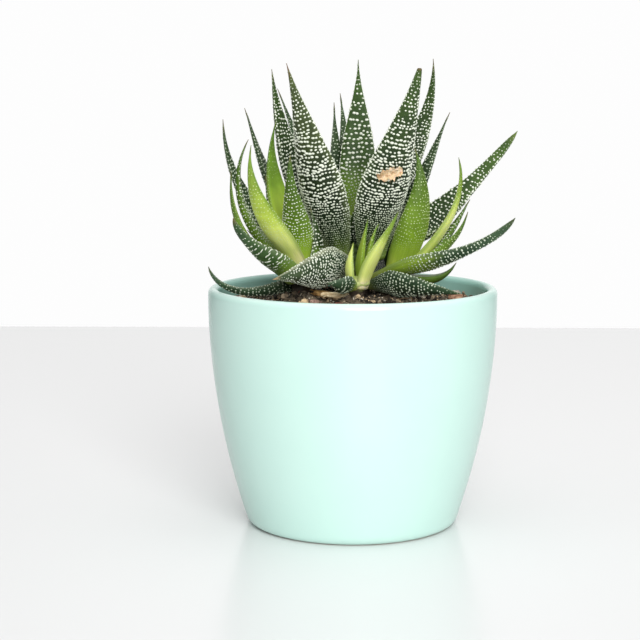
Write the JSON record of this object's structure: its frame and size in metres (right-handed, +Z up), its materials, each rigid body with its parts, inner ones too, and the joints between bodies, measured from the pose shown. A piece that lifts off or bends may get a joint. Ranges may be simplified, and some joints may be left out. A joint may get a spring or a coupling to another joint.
{
  "type": "potted succulent",
  "caption": "Warty-leaved succulent rosette with young offsets, growing in a round glazed pot with bark chips on the soil.",
  "frame": {"origin": "centre of the pot's foot, on the surface that it stands on", "axes": "+Z up along the pot's axis, -Y towards the front seen in the picture, +X to the right of the picture"},
  "size_m": [0.1145, 0.105, 0.1696],
  "materials": {
    "mint_glaze": "satin mint-green glaze",
    "potting_mix": "loose peat and bark potting mix",
    "stem_green": "fleshy green stem",
    "leaf_dark_green": "fleshy dark green leaf with raised white tubercles",
    "leaf_lime_green": "fleshy lime green leaf with small pale dots",
    "bark_chip_orange": "rough bark",
    "bark_stick": "frayed bark fibre",
    "bark_chip_red": "rough bark",
    "bark_chip_pink": "rough bark",
    "bark_chip_right": "rough bark",
    "dry_husk": "dry papery husk"
  },
  "bodies": {
    "root": {"pot": "mint_glaze", "soil": "potting_mix", "main_stem": "stem_green", "leaf_front_left": "leaf_dark_green", "leaf_front_right": "leaf_dark_green", "leaf_left_tall": "leaf_dark_green", "leaf_left_behind": "leaf_dark_green", "leaf_left_back": "leaf_dark_green", "leaf_far_left": "leaf_dark_green", "leaf_back_narrow": "leaf_dark_green", "leaf_back_slim": "leaf_dark_green", "leaf_back_middle": "leaf_dark_green", "leaf_back_right": "leaf_dark_green", "leaf_right_back": "leaf_dark_green", "leaf_right_long": "leaf_dark_green", "leaf_right_low": "leaf_dark_green", "leaf_right_soil": "leaf_dark_green", "leaf_over_rim": "leaf_dark_green", "leaf_front_lying": "leaf_dark_green", "leaf_low_back_right": "leaf_dark_green", "leaf_low_back": "leaf_dark_green", "leaf_low_back_left": "leaf_dark_green", "offset_left": "leaf_lime_green", "offset_right": "leaf_lime_green", "offset_front": "leaf_lime_green", "bark_chip_orange": "bark_chip_orange", "bark_stick": "bark_stick", "bark_chip_red": "bark_chip_red", "bark_chip_pink": "bark_chip_pink", "bark_chip_right": "bark_chip_right", "husk": "dry_husk"}
  },
  "joints": []
}
